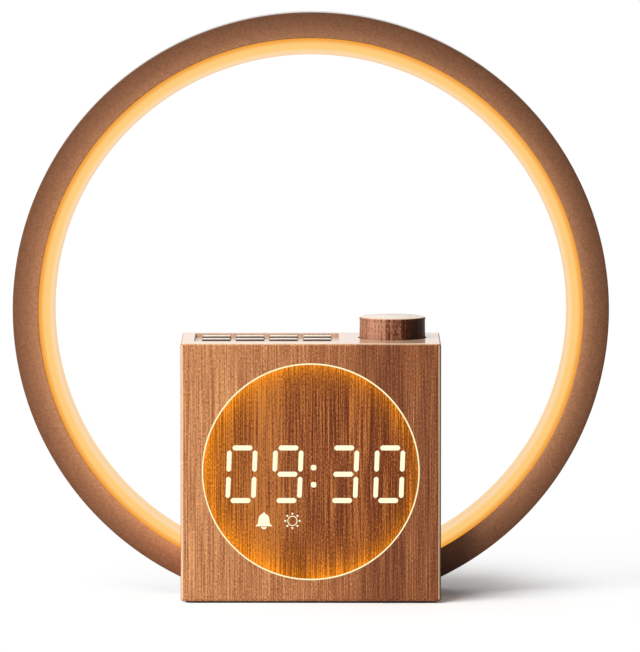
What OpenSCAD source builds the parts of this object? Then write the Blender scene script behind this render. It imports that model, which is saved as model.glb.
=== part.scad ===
// Sunrise alarm clock: a wood-faced case with a lit display, keys and a knob, and a large ring lamp.
// Millimetres. X to the right, Y to the back, Z up. The origin is under the middle of the case.

/* [Case] */
// Width of the case
case_w = 100; // [96:1:124]
// Depth of the case, front to back
case_d = 50; // [42:1:60]
// Height of the case above the mat
case_h = 99.5; // [97:0.5:120]
// Thickness of the side, top and bottom walls
wall_t = 3; // [2.5:0.1:4]
// Thickness of the front wall
front_t = 4; // [3.5:0.1:6]
// Radius of the case's outer edges
edge_r = 1; // [0.5:0.1:2]
// Thickness of the anti-slip mat
mat_t = 0.7; // [0.5:0.1:2]
// Distance of the mat from the case's outer faces
mat_inset = 1.5; // [1:0.1:4]

/* [Rear cover] */
// Thickness of the rear cover
cover_t = 3; // [2:0.1:4]
// Gap round the rear cover
cover_gap = 0.15; // [0.1:0.05:0.3]
// Radius of the hole for a small screw
screw_hole_r = 1.2; // [1:0.1:1.4]

/* [Display face] */
// Radius of the wooden display disc
disc_r = 41.3; // [38:0.1:42]
// Thickness of the wooden display disc
disc_t = 0.8; // [0.6:0.1:1.2]
// Width of the lit line round the disc
halo_w = 0.5; // [0.5:0.1:1.5]
// Height of the disc's middle above the middle of the case
face_dz = 0.35; // [0:0.05:1]
// Number of lamps behind the lit line
halo_leds = 24; // [12:2:36]
// Depth of the light box behind the front wall
light_box_d = 6; // [5:0.5:8]
// Thickness of the circuit boards
board_t = 1.6; // [1:0.2:1.6]

/* [Digits] */
// Height between the centre lines of a digit's top and bottom segments
digit_h = 20.3; // [16:0.1:21]
// Width between the centre lines of a digit's side segments
digit_w = 9.85; // [8:0.05:10]
// Width of a level segment
level_t = 1.95; // [1.6:0.05:2.4]
// Width of an upright segment
upright_t = 1.8; // [1.6:0.05:2.4]
// Length of a level segment, tip to tip
level_len = 7.6; // [6:0.1:8.2]
// Length of an upright segment, tip to tip
upright_len = 8.1; // [7:0.1:9]
// Lean of the digits
slant_deg = 2.2; // [0:0.1:5]
// Distance between the digits of a pair
digit_pitch = 17.65; // [16:0.05:18]
// Distance between the middles of the two pairs
pair_pitch = 39.05; // [36:0.05:40]
// Shift of the digits to the right of the middle
digits_x = 1.75; // [0:0.05:2]
// Height of the digits' middle, from the disc's centre
digits_dz = -0.9; // [-2:0.1:1]
// Side of a colon dot
dot_w = 2.1; // [2:0.1:3]
// Height of the bell and sun signs, from the disc's centre
icons_dz = -18.9; // [-20:0.1:-17.5]

/* [Keys] */
// Length of a key
key_w = 10.9; // [9:0.1:11.6]
// Width of a key
key_d = 4.8; // [4.5:0.1:6]
// Distance between keys in a row
key_pitch = 12.95; // [12.8:0.05:13.4]
// Distance between the two rows
row_pitch = 12.8; // [10:0.1:14]
// Length of the sunk tray
tray_w = 55.7; // [55:0.1:58]
// Width of the sunk tray
tray_d = 34.5; // [30:0.5:36]
// Depth of the tray's floor under the case top
tray_depth = 1.1; // [0.8:0.1:1.3]
// Thickness of the glossy plate in the tray
plate_t = 0.6; // [0.4:0.1:0.7]
// Distance of the key tops under the case top
key_sink = 0; // [0:0.1:0.4]
// Travel of a key
key_travel = 0.6; // [0.3:0.1:0.6]
// Gap round a key
key_gap = 0.2; // [0.15:0.05:0.3]

/* [Knob] */
// Radius of the knob
knob_r = 12.75; // [10:0.05:13]
// Height of the knob above the case top
knob_top = 8.2; // [6:0.1:12]
// Distance of the knob's axis to the right of the middle
knob_x = 31.5; // [30:0.1:32]
// Distance of the knob's axis behind the middle of the case
knob_y = 2.5; // [0:0.1:4]
// Gap round the knob
knob_gap = 0.5; // [0.4:0.1:0.8]
// Depth of the well that the knob sits in
well_depth = 4; // [3.5:0.1:5]
// Travel of the knob when it is pressed
knob_travel = 0.5; // [0.3:0.1:0.6]
// Radius of the pale disc in the knob's top
inlay_r = 10.3; // [6:0.1:10.5]
// Radius of the encoder's shaft
shaft_r = 3; // [2.5:0.1:3.2]
// Radial running gap of the shaft
shaft_gap = 0.05; // [0.03:0.01:0.08]

/* [Ring lamp] */
// Outer radius of the ring
ring_r = 115.2; // [96:0.1:138]
// Width of the brown frame, seen from the front
frame_w = 10; // [8:0.5:12]
// Width of the lit diffuser, seen from the front
diffuser_w = 6.3; // [5:0.1:8]
// Depth of the ring, front to back
ring_d = 13; // [12:0.5:14]
// Thickness of the ring's shells
shell_t = 1.6; // [1.2:0.1:2]
// Distance of the ring's front behind the case's front
ring_back = 26; // [24:0.5:26]
// Height at which the ring's outer edge meets the case's side
ring_cross_z = 7; // [7:0.05:12]
// How far the ring's ends reach into the case
ring_enter = 4.5; // [4:0.1:6]
// Gap round the ring where it passes through the case
ring_gap = 0.15; // [0.1:0.05:0.3]
// Number of lamps in the ring
ring_led_count = 60; // [40:2:72]

/* [Hidden] */
$fn = 96;

// small shared sizes
cut = 1;                                   // how far a cutter runs past the face it cuts
arc_steps = 4;                             // flat steps in an outer edge's round
pin_gap = 0.05;                            // gap of a fixed piece in its seat
screw_r = screw_hole_r - pin_gap;          // shank of a small screw
screw_head_r = 2.2;
screw_head_t = 1.4;
board_gap = 1;                             // gap from a board's edge to the wall

// the case
half_w = case_w / 2;
front_y = -case_d / 2;
back_y = case_d / 2;
top_z = mat_t + case_h;
inner_w = case_w - 2 * wall_t;
floor_z = mat_t + wall_t;
ceiling_z = top_z - wall_t;
inner_y = front_y + front_t;
face_z = mat_t + case_h / 2 + face_dz;
cover_y = back_y - cover_t;

// the display
block_back_y = inner_y + light_box_d;
flange_t = 2.5;
flange_w = inner_w - 2 * board_gap;
flange_h = min(ceiling_z - face_z, face_z - floor_z) * 2 - 5;
barrel_r = disc_r - pin_gap;
halo_out_r = disc_r + halo_w;
display_corner = [flange_w / 2 - 5, flange_h / 2 - 5];
guide_len = 3.8;
halo_led_r = disc_r + 1;
halo_hole_r = 0.8;
digit_centres = [for (pair = [-1, 1]) for (side = [-1, 1])
    digits_x + pair * pair_pitch / 2 + side * digit_pitch / 2];
lit = ["abcdef", "abcdfg", "abcdg", "abcdef"];
unlit = ["g", "e", "ef", "g"];
dot_dz = [1.65, -4.95];
dots_x = 1.1;
bell_x = -18;
sun_x = -7.05;
sun_r = 1.95;
sun_dots_r = 2.75;

// the top: tray, keys and boards
tray_x = -17;
tray_y = 2.6;
rows_y = tray_y + 0.9;
key_z = top_z - key_sink;
plate_z = top_z - tray_depth - plate_t;
key_lip = 0.6;
key_lip_t = 0.6;
top_board_z = ceiling_z - 11.5;
switch_w = 6;
switch_h = 3.5;
plunger_r = 1.75;
plunger_h = 1.7;
plunger_top_z = top_board_z + board_t + switch_h + 1;
top_posts = [[-half_w + wall_t + 3, tray_y], [tray_x + tray_w / 2 + 1.4, tray_y]];
key_xs = [for (i = [0:3]) tray_x + (i - 1.5) * key_pitch];
key_ys = [for (i = [0, 1]) rows_y + (i - 0.5) * row_pitch];

// the knob and its encoder
well_r = knob_r + knob_gap;
well_floor_z = top_z - well_depth;
well_floor_t = 2;
panel_z = well_floor_z - well_floor_t;
bush_r = shaft_r + 0.5;
nut_t = 1.8;
bush_top_z = well_floor_z + nut_t + 0.7;
knob_base_z = well_floor_z + knob_travel + 0.3;
knob_roof_z = bush_top_z + knob_travel + 0.5;
knob_tip_z = top_z + knob_top;
shaft_tip_z = knob_tip_z - 2.4;
shaft_flat = shaft_r / 2;
encoder_w = 12.5;
encoder_d = 13.5;
encoder_base_z = top_board_z + board_t;
chamber_z = encoder_base_z + 1.2;
chamber_r = shaft_r + 1.2;
foot_z = chamber_z + knob_travel + 0.8;

// the ring lamp
ring_y = front_y + ring_back;
ring_end_x = half_w - ring_enter;
ring_z = ring_cross_z + sqrt(pow(ring_r, 2) - pow(half_w, 2));
ring_gap_deg = asin(ring_end_x / ring_r);
frame_in_r = ring_r - frame_w;
ring_in_r = frame_in_r - diffuser_w;
ring_mid = ring_d / 2;
bevel = 0.5;
tongue_t = 1.1;
strip_t = 0.25;
led_h = 1.6;
tongue_r = ring_r - shell_t - pin_gap - tongue_t;
strip_r = tongue_r - pin_gap;

// the clamps for the ring's ends
clamp_x = ring_in_r * sin(ring_gap_deg) - 4.6;
clamp_z = floor_z + 7;
clamp_block_w = 7;
clamp_block_h = 12;
clamp_w = 14;
clamp_h = 12;
clamp_t = 1.5;
rib_t = 2.5;
rib_h = 26;

// the lower boards and parts
ballast_w = 44;
ballast_d = 26;
ballast_t = 6;
main_w = 56;
main_d = 26;
main_z = floor_z + 9;
main_y = cover_y - 0.5 - main_d / 2;
main_top_z = main_z + board_t;
main_posts = [for (sx = [-1, 1]) for (sy = [-1, 1])
    [sx * (main_w / 2 - 2.5), main_y + sy * (main_d / 2 - 3)]];
post_r = 2.3;
speaker_z = face_z + 12;
speaker_r = 18;
gasket_t = 1;
slot_pitch = 4;
slot_h = 1.6;
cover_posts = [for (sx = [-1, 1]) for (z = [floor_z + 34, ceiling_z - 4]) [sx * (inner_w / 2 - 4), z]];
cover_boss_w = 8;
cover_boss_l = 6.5;
inlet_w = 8.9;
inlet_h = 3.2;
inlet_l = 7.5;
cell_r = 8;
cell_t = 3.2;
cell_x = -13;
cell_y = main_y - 1;
header_x = 11;
header_w = 22;
ribbon_x = 23;
ribbon_w = 8;
ribbon_y = main_y - 4.5;

// an outline of a rectangle with rounded corners, as points
function round_rect(w, h, r) = [for (c = [0:3]) for (i = [0:arc_steps])
    let (a = 90 * (c + i / arc_steps), sx = (c == 0 || c == 3) ? 1 : -1, sy = c < 2 ? 1 : -1)
    [sx * (w / 2 - r) + r * cos(a), sy * (h / 2 - r) + r * sin(a)]];

// turns a flat drawing of X and Z into a solid that runs from the front plane y towards the back
module upright(y, len) {
    translate([0, y + len, 0]) rotate([90, 0, 0]) linear_extrude(height = len) children();
}

// a round bar along Y, from the plane y towards the back
module bar_y(x, y, z, r, len) {
    translate([x, y, z]) rotate([-90, 0, 0]) cylinder(r = r, h = len);
}

// a block centred on x and y, standing on z
module block(x, y, z, w, d, h) {
    translate([x - w / 2, y - d / 2, z]) cube([w, d, h]);
}

// a block with all its edges rounded, standing on z = 0
module rounded_block(w, d, h, r) {
    intersection() {
        translate([0, 0, -cut]) linear_extrude(height = h + 2 * cut) polygon(round_rect(w, d, r));
        translate([0, 0, h / 2]) upright(-d, 2 * d) polygon(round_rect(w, h, r));
        translate([-w, 0, h / 2]) rotate([90, 0, 90]) linear_extrude(height = 2 * w)
            polygon(round_rect(d, h, r));
    }
}

// a screw with its head at the back, its shank pointing to the front
module screw_y(x, y, z, len) {
    bar_y(x, y - len, z, screw_r, len + 0.2);
    bar_y(x, y, z, screw_head_r, screw_head_t);
}

// a screw along Z with its head at z and its shank going up (dir 1) or down (dir -1)
module screw_z(x, y, z, len, dir) {
    translate([x, y, dir > 0 ? z - 0.2 : z - len]) cylinder(r = screw_r, h = len + 0.2);
    translate([x, y, dir > 0 ? z - screw_head_t : z]) cylinder(r = screw_head_r, h = screw_head_t);
}

// a piece of the ring: an outline of radius and depth, turned along the lamp's arc
module ring_arc(outline, trim_deg = 0) {
    first = -90 + ring_gap_deg + trim_deg;
    translate([0, ring_y, ring_z]) rotate([90, 0, 0])
        rotate_extrude(start = first, angle = 360 - 2 * (ring_gap_deg + trim_deg), $fn = 240)
            polygon([for (p = outline) [p[0], -p[1]]]);
}

// the full round track of the ring between two radii, from y towards the back
module ring_track(r_in, r_out, y, len) {
    translate([0, y, ring_z]) rotate([-90, 0, 0]) difference() {
        cylinder(r = r_out, h = len, $fn = 240);
        translate([0, 0, -cut]) cylinder(r = r_in, h = len + 2 * cut, $fn = 240);
    }
}

// the places where the ring goes through the side walls, grown by gap
module ring_slots(gap, y, len) {
    intersection() {
        ring_track(ring_in_r - gap, ring_r + gap, y, len);
        for (s = [-1, 1]) block(s * half_w, y + len / 2, 0, 2 * (half_w - ring_end_x + 3), len, top_z);
    }
}

// one straight segment with blunt tips, lying along X and centred on the origin
module segment(len, t) {
    tip = t / 6;
    side = t / 2;
    polygon([for (s = [-1, 1]) for (p = [[len / 2 - side + tip, -side], [len / 2, -tip], [len / 2, tip],
        [len / 2 - side + tip, side]]) s * p]);
}

// the place of each segment of a digit: its name, its centre and its turn
function segment_places() = [
    ["a", [0, digit_h / 2], 0], ["g", [0, 0], 0], ["d", [0, -digit_h / 2], 0],
    ["b", [digit_w / 2, digit_h / 4], 90], ["c", [digit_w / 2, -digit_h / 4], 90],
    ["f", [-digit_w / 2, digit_h / 4], 90], ["e", [-digit_w / 2, -digit_h / 4], 90]];

// the lean of the digits, as a slide of each point to the right with its height
module lean() {
    multmatrix([[1, tan(slant_deg), 0, 0], [0, 1, 0, 0], [0, 0, 1, 0], [0, 0, 0, 1]]) children();
}

// the named segments of all four digits
module digit_row(names) {
    translate([0, face_z + digits_dz]) for (i = [0:3]) translate([digit_centres[i], 0]) lean()
        for (s = segment_places()) if (len(search(s[0], names[i])) > 0)
            translate(s[1]) rotate(s[2])
                segment(s[2] == 0 ? level_len : upright_len, s[2] == 0 ? level_t : upright_t);
}

// the two dots of the colon
module colon() {
    for (dz = dot_dz) translate([dots_x, face_z + dz]) polygon(round_rect(dot_w, dot_w, 0.7));
}

// a bell: dome, flared rim and clapper
module bell() {
    translate([bell_x, face_z + icons_dz]) {
        polygon(concat([[3.1, -2.1], [3.1, -1.8], [2.3, -1.1]],
            [for (a = [0:15:75]) [2.1 * cos(a), 0.6 + 2.2 * sin(a)]], [[0.35, 3.2], [-0.35, 3.2]],
            [for (a = [105:15:180]) [2.1 * cos(a), 0.6 + 2.2 * sin(a)]],
            [[-2.3, -1.1], [-3.1, -1.8], [-3.1, -2.1]]));
        polygon([for (a = [180:20:360]) [1.1 * cos(a), -2.35 + 0.9 * sin(a)]]);
    }
}

// a sun: a thin ring with eight dots round it
module sun() {
    translate([sun_x, face_z + icons_dz]) {
        difference() {
            circle(r = sun_r);
            circle(r = sun_r - 0.32);
        }
        for (a = [0:45:315]) translate([sun_dots_r * cos(a), sun_dots_r * sin(a)]) circle(r = 0.4);
    }
}

// everything on the face that is lit
module lit_shapes() {
    digit_row(lit);
    colon();
    bell();
    sun();
}

// the posts that carry boards and cover inside the case
module case_posts() {
    for (p = top_posts) translate([p[0], p[1], top_board_z + board_t])
        cylinder(r = post_r, h = ceiling_z - top_board_z - board_t + cut);
    for (p = main_posts) translate([p[0], p[1], floor_z - cut])
        cylinder(r = post_r, h = main_z - floor_z + cut);
    for (p = cover_posts) {
        outer = sign(p[0]) * (inner_w / 2 + wall_t / 2);
        inner = p[0] - sign(p[0]) * cover_boss_w / 2;
        block((outer + inner) / 2, cover_y - cover_boss_l / 2, p[1] - cover_boss_w / 2,
            abs(outer - inner), cover_boss_l, cover_boss_w);
    }
}

// the ribs in front of the ring's ends, and the blocks that the clamps are screwed to
module clamp_seats() {
    for (s = [-1, 1]) {
        rib_in = clamp_x + clamp_block_w / 2;
        rib_out = half_w - wall_t / 2;
        block(s * (rib_in + rib_out) / 2, ring_y - rib_t / 2, floor_z - cut,
            rib_out - rib_in, rib_t, rib_h + cut);
        block(s * clamp_x, ring_y + (ring_d - rib_t) / 2, floor_z - cut,
            clamp_block_w, ring_d + rib_t, clamp_block_h + cut);
    }
}

// every hole in the case's walls
module case_cuts() {
    bar_y(0, front_y - cut, face_z, halo_out_r + pin_gap, front_t + 2 * cut);
    block(tray_x, tray_y, plate_z, tray_w, tray_d, top_z - plate_z + cut);
    for (x = key_xs) for (y = key_ys)
        block(x, y, ceiling_z - cut, key_w + 2 * key_gap, key_d + 2 * key_gap, wall_t + cut);
    translate([knob_x, knob_y, well_floor_z]) cylinder(r = well_r, h = well_depth + cut);
    translate([knob_x, knob_y, panel_z - cut]) cylinder(r = bush_r + pin_gap, h = well_floor_t + 2 * cut);
    ring_slots(ring_gap, ring_y - ring_gap, back_y - ring_y + ring_gap + cut);
    for (p = top_posts) translate([p[0], p[1], top_board_z]) cylinder(r = screw_hole_r, h = 7);
    for (p = main_posts) translate([p[0], p[1], main_z - 7]) cylinder(r = screw_hole_r, h = 7 + cut);
    for (p = cover_posts) bar_y(p[0], cover_y - 5.5, p[1], screw_hole_r, 5.5 + cut);
    for (s = [-1, 1]) bar_y(s * clamp_x, ring_y + ring_d - 8, clamp_z, screw_hole_r, 8 + cut);
    for (sx = [-1, 1]) for (sz = [-1, 1])
        bar_y(sx * display_corner[0], inner_y - 3, face_z + sz * display_corner[1], screw_hole_r, 3 + cut);
}

module case() {
    color([0.72, 0.49, 0.31]) difference() {
        union() {
            difference() {
                translate([0, 0, mat_t]) rounded_block(case_w, case_d, case_h, edge_r);
                block(0, (inner_y + back_y + cut) / 2, floor_z, inner_w, back_y + cut - inner_y,
                    ceiling_z - floor_z);
            }
            translate([knob_x, knob_y, panel_z])
                cylinder(r = well_r + 2.5, h = ceiling_z - panel_z + wall_t / 3);
            case_posts();
            clamp_seats();
        }
        case_cuts();
    }
}

module rear_cover() {
    color([0.42, 0.28, 0.20]) difference() {
        intersection() {
            union() {
                block(0, cover_y + cover_t / 2, floor_z + cover_gap, inner_w - 2 * cover_gap, cover_t,
                    ceiling_z - floor_z - 2 * cover_gap);
                intersection() {
                    ring_track(ring_in_r, ring_r, ring_y + ring_d + ring_gap, back_y - ring_y - ring_d);
                    for (s = [-1, 1]) block(s * (half_w - wall_t / 2), back_y - cut, 0,
                        wall_t + 1, 2 * case_d, top_z);
                }
            }
            translate([0, 0, mat_t]) rounded_block(case_w, case_d, case_h, edge_r);
        }
        upright(cover_y - cut, cover_t + 2 * cut) for (i = [-3:3])
            translate([0, speaker_z + i * slot_pitch])
                polygon(round_rect(2 * sqrt(pow(speaker_r - 3, 2) - pow(i * slot_pitch, 2)), slot_h,
                    slot_h / 2 - 0.05));
        block(0, cover_y, main_top_z - 0.35, inlet_w + 0.7, 3 * cover_t, inlet_h + 0.7);
        for (p = cover_posts) {
            bar_y(p[0], cover_y - cut, p[1], screw_hole_r, cover_t + 2 * cut);
            bar_y(p[0], back_y - screw_head_t - 0.2, p[1], screw_head_r + 0.3, 2 * cut + 1);
        }
    }
}

module base_mat() {
    color([0.16, 0.13, 0.12]) linear_extrude(height = mat_t)
        polygon(round_rect(case_w - 2 * mat_inset, case_d - 2 * mat_inset, 3));
}

module ballast_plate() {
    color([0.55, 0.56, 0.58]) block(0, main_y - 2, floor_z, ballast_w, ballast_d, ballast_t);
}

module cover_screws() {
    color([0.30, 0.30, 0.31]) for (p = cover_posts)
        screw_y(p[0], back_y - screw_head_t - 0.2, p[1], 6);
}

module face_disc() {
    color([0.60, 0.34, 0.16]) difference() {
        bar_y(0, front_y, face_z, disc_r, disc_t);
        upright(front_y - cut, disc_t + 2 * cut) {
            lit_shapes();
            digit_row(unlit);
        }
    }
}

module halo_ring() {
    color([1.0, 0.95, 0.78]) difference() {
        bar_y(0, front_y, face_z, halo_out_r, front_t);
        bar_y(0, front_y - cut, face_z, disc_r, front_t + 2 * cut);
    }
}

module lit_segments() {
    color([1.0, 0.97, 0.84]) upright(front_y, guide_len) lit_shapes();
}

module unlit_segments() {
    color([0.60, 0.34, 0.16]) upright(front_y, guide_len) digit_row(unlit);
}

module display_block() {
    color([0.93, 0.93, 0.91]) difference() {
        union() {
            bar_y(0, front_y + disc_t, face_z, barrel_r, block_back_y - front_y - disc_t);
            block(0, inner_y + flange_t / 2, face_z - flange_h / 2, flange_w, flange_t, flange_h);
            for (sx = [-1, 1]) for (sz = [-1, 1]) bar_y(sx * display_corner[0], inner_y,
                face_z + sz * display_corner[1], 3, light_box_d);
        }
        upright(front_y, case_d) {
            lit_shapes();
            digit_row(unlit);
        }
        for (i = [0:halo_leds - 1]) let (a = 360 * (i + 0.5) / halo_leds)
            bar_y(halo_led_r * cos(a), inner_y - cut, face_z + halo_led_r * sin(a), halo_hole_r,
                flange_t + 2 * cut);
        for (sx = [-1, 1]) for (sz = [-1, 1]) bar_y(sx * display_corner[0], inner_y - cut,
            face_z + sz * display_corner[1], screw_hole_r, light_box_d + 2 * cut);
    }
}

module display_board() {
    color([0.10, 0.28, 0.20]) difference() {
        block(0, block_back_y + board_t / 2, face_z - flange_h / 2, flange_w, board_t, flange_h);
        for (sx = [-1, 1]) for (sz = [-1, 1]) bar_y(sx * display_corner[0], block_back_y - cut,
            face_z + sz * display_corner[1], screw_hole_r, board_t + 2 * cut);
    }
}

// one small lamp on the front of the display board
module face_led(x, z) {
    block(x, block_back_y - 0.4, z - 0.6, 1.2, 0.8, 1.2);
}

module display_leds() {
    color([1.0, 0.86, 0.55]) {
        for (x = digit_centres) for (s = segment_places())
            face_led(x + s[1][0] + tan(slant_deg) * s[1][1], face_z + digits_dz + s[1][1]);
        for (dz = dot_dz) face_led(dots_x, face_z + dz);
        face_led(bell_x, face_z + icons_dz);
        for (i = [0:halo_leds - 1]) let (a = 360 * (i + 0.5) / halo_leds)
            face_led(halo_led_r * cos(a), face_z + halo_led_r * sin(a));
    }
}

module display_header() {
    header_y = block_back_y + board_t;
    header_end = main_y - main_d / 2 + 3;
    color([0.12, 0.12, 0.12])
        block(header_x, (header_y + header_end) / 2, main_top_z, header_w, header_end - header_y, 2.5);
}

module display_screws() {
    color([0.60, 0.60, 0.62]) for (sx = [-1, 1]) for (sz = [-1, 1])
        screw_y(sx * display_corner[0], block_back_y + board_t, face_z + sz * display_corner[1],
            board_t + light_box_d + 2.5);
}

module key_plate() {
    color([0.80, 0.66, 0.52]) difference() {
        block(tray_x, tray_y, plate_z, tray_w - 0.1, tray_d - 0.1, plate_t);
        for (x = key_xs) for (y = key_ys)
            block(x, y, plate_z - cut, key_w + 2 * key_gap, key_d + 2 * key_gap, plate_t + 2 * cut);
    }
}

// key n: 1 to 4 in the front row, 5 to 8 in the back row
module key(n) {
    x = key_xs[(n - 1) % 4];
    y = key_ys[floor((n - 1) / 4)];
    lip_z = ceiling_z - 0.1 - key_lip_t;
    color([0.95, 0.89, 0.78]) {
        block(x, y, lip_z, key_w, key_d, key_z - lip_z);
        block(x, y, lip_z, key_w + 2 * key_lip, key_d + 2 * key_lip, key_lip_t);
        translate([x, y, plunger_top_z + 0.05]) cylinder(r = 1.5, h = lip_z - plunger_top_z + 0.2);
    }
}

module key_1() { key(1); }
module key_2() { key(2); }
module key_3() { key(3); }
module key_4() { key(4); }
module key_5() { key(5); }
module key_6() { key(6); }
module key_7() { key(7); }
module key_8() { key(8); }

// the moving top of the switch under key n
module key_plunger(n) {
    color([0.15, 0.15, 0.15])
        translate([key_xs[(n - 1) % 4], key_ys[floor((n - 1) / 4)], plunger_top_z - plunger_h])
            cylinder(r = plunger_r, h = plunger_h);
}

module key_plunger_1() { key_plunger(1); }
module key_plunger_2() { key_plunger(2); }
module key_plunger_3() { key_plunger(3); }
module key_plunger_4() { key_plunger(4); }
module key_plunger_5() { key_plunger(5); }
module key_plunger_6() { key_plunger(6); }
module key_plunger_7() { key_plunger(7); }
module key_plunger_8() { key_plunger(8); }

module key_switches() {
    socket_z = plunger_top_z - plunger_h - key_travel - 0.2;
    color([0.70, 0.71, 0.72]) for (x = key_xs) for (y = key_ys) difference() {
        block(x, y, top_board_z + board_t, switch_w, switch_w, switch_h);
        translate([x, y, socket_z]) cylinder(r = plunger_r + 0.08, h = switch_h + cut);
    }
}

module top_board() {
    near_y = block_back_y + board_t + screw_head_t + 0.3;
    far_y = cover_y - 2;
    color([0.10, 0.28, 0.20]) difference() {
        block(0, (near_y + far_y) / 2, top_board_z, inner_w - 2 * board_gap, far_y - near_y, board_t);
        for (p = top_posts) translate([p[0], p[1], top_board_z - cut])
            cylinder(r = screw_hole_r, h = board_t + 2 * cut);
    }
}

module top_screws() {
    color([0.60, 0.60, 0.62]) for (p = top_posts) screw_z(p[0], p[1], top_board_z, 6.5, 1);
}

module encoder_body() {
    color([0.45, 0.46, 0.47]) difference() {
        union() {
            block(knob_x, knob_y, encoder_base_z, encoder_w, encoder_d, panel_z - encoder_base_z);
            translate([knob_x, knob_y, panel_z - 0.5]) cylinder(r = bush_r, h = bush_top_z - panel_z + 0.5);
        }
        translate([knob_x, knob_y, chamber_z]) cylinder(r = chamber_r, h = panel_z - 1 - chamber_z);
        translate([knob_x, knob_y, chamber_z]) cylinder(r = shaft_r + shaft_gap, h = bush_top_z);
    }
}

module encoder_nut() {
    color([0.78, 0.75, 0.66]) translate([knob_x, knob_y, well_floor_z]) difference() {
        cylinder(r = bush_r + 2.3, h = nut_t, $fn = 6);
        translate([0, 0, -cut]) cylinder(r = bush_r + pin_gap, h = nut_t + 2 * cut);
    }
}

module encoder_plunger() {
    color([0.15, 0.15, 0.15]) translate([knob_x, knob_y, chamber_z + knob_travel + 0.1])
        cylinder(r = 2.4, h = 0.6);
}

module encoder_shaft() {
    color([0.80, 0.80, 0.80]) difference() {
        union() {
            translate([knob_x, knob_y, foot_z]) cylinder(r = shaft_r, h = shaft_tip_z - foot_z);
            translate([knob_x, knob_y, foot_z]) cylinder(r = shaft_r + 0.8, h = 1);
        }
        translate([knob_x + shaft_flat, knob_y - shaft_r - cut, knob_roof_z])
            cube([shaft_r + cut, 2 * (shaft_r + cut), shaft_tip_z]);
    }
}

module knob() {
    round_r = 0.6;
    color([0.62, 0.40, 0.26]) translate([knob_x, knob_y, 0]) difference() {
        rotate_extrude() polygon(concat([[0, knob_base_z], [knob_r, knob_base_z]],
            [for (a = [0:22.5:90])
                [knob_r - round_r * (1 - cos(a)), knob_tip_z - round_r * (1 - sin(a))]],
            [[0, knob_tip_z]]));
        translate([0, 0, knob_base_z - cut]) cylinder(r = bush_r + 3.6, h = knob_roof_z - knob_base_z + cut);
        difference() {
            translate([0, 0, knob_base_z]) cylinder(r = shaft_r + 0.02, h = shaft_tip_z + 0.1 - knob_base_z);
            translate([shaft_flat + 0.02, -shaft_r - cut, knob_roof_z])
                cube([shaft_r + cut, 2 * (shaft_r + cut), shaft_tip_z]);
        }
        translate([0, 0, knob_tip_z - 0.4]) cylinder(r = inlay_r, h = 0.4 + cut);
    }
}

module knob_inlay() {
    color([0.93, 0.89, 0.83]) translate([knob_x, knob_y, knob_tip_z - 0.4])
        cylinder(r = inlay_r - pin_gap, h = 0.4);
}

module main_board() {
    color([0.10, 0.28, 0.20]) difference() {
        block(0, main_y, main_z, main_w, main_d, board_t);
        for (p = main_posts) translate([p[0], p[1], main_z - cut])
            cylinder(r = screw_hole_r, h = board_t + 2 * cut);
    }
}

module main_chips() {
    color([0.13, 0.13, 0.14]) {
        block(10, main_y - 4, main_top_z, 9, 9, 1.2);
        block(10, main_y + 6, main_top_z, 5, 4, 1);
        block(0, main_y - 5, main_top_z, 4, 5, 1.2);
        translate([18, main_y + 4, main_top_z]) cylinder(r = 3, h = 7);
    }
}

module main_screws() {
    color([0.60, 0.60, 0.62]) for (p = main_posts) screw_z(p[0], p[1], main_top_z, board_t + 5, -1);
}

module usb_inlet() {
    color([0.75, 0.76, 0.78]) difference() {
        upright(back_y - inlet_l, inlet_l) translate([0, main_top_z + inlet_h / 2])
            polygon(round_rect(inlet_w, inlet_h, inlet_h / 2 - 0.05));
        upright(back_y - inlet_l + 1, inlet_l) translate([0, main_top_z + inlet_h / 2]) difference() {
            polygon(round_rect(inlet_w - 0.6, inlet_h - 0.6, inlet_h / 2 - 0.4));
            square([inlet_w - 2.6, 0.7], center = true);
        }
    }
}

module backup_cell() {
    color([0.80, 0.80, 0.82]) translate([cell_x, cell_y, main_top_z + 1]) cylinder(r = cell_r, h = cell_t);
}

module cell_holder() {
    color([0.10, 0.10, 0.11]) difference() {
        block(cell_x, cell_y, main_top_z, 2 * cell_r + 2.4, 2 * cell_r + 1, 3.4);
        translate([cell_x, cell_y, main_top_z + 1]) cylinder(r = cell_r + pin_gap, h = cell_t);
    }
}

module speaker_basket() {
    rim_y = cover_y - gasket_t;
    color([0.20, 0.20, 0.21]) translate([0, rim_y, speaker_z]) rotate([90, 0, 0]) rotate_extrude()
        polygon([[speaker_r - 2.5, 0], [speaker_r, 0], [speaker_r, 1.2], [11.5, 9], [6, 9], [6, 7.8],
            [10.8, 7.8], [speaker_r - 2.5, 1.6]]);
}

module speaker_cone() {
    rim_y = cover_y - gasket_t;
    color([0.30, 0.27, 0.25]) translate([0, rim_y, speaker_z]) rotate([90, 0, 0]) rotate_extrude()
        polygon([[0, 3.4], [5, 5.4], [speaker_r - 3.4, 0.4], [speaker_r - 2.6, 0.4],
            [speaker_r - 2.6, 1], [speaker_r - 3.2, 1], [5.6, 6.1], [5.6, 8.6], [5, 8.6], [5, 6.1], [0, 4]]);
}

module speaker_magnet() {
    rim_y = cover_y - gasket_t;
    color([0.35, 0.35, 0.36]) difference() {
        bar_y(0, rim_y - 13.5, speaker_z, 10, 4.5);
        bar_y(0, rim_y - 9.4, speaker_z, 5.9, 2);
    }
}

module speaker_gasket() {
    color([0.12, 0.12, 0.12]) difference() {
        bar_y(0, cover_y - gasket_t, speaker_z, speaker_r, gasket_t);
        bar_y(0, cover_y - gasket_t - cut, speaker_z, speaker_r - 2.5, gasket_t + 2 * cut);
    }
}

module board_ribbon() {
    color([0.80, 0.80, 0.80]) block(ribbon_x, ribbon_y, main_top_z + 2.6, ribbon_w, 0.6,
        top_board_z - main_top_z - 5.2);
}

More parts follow.
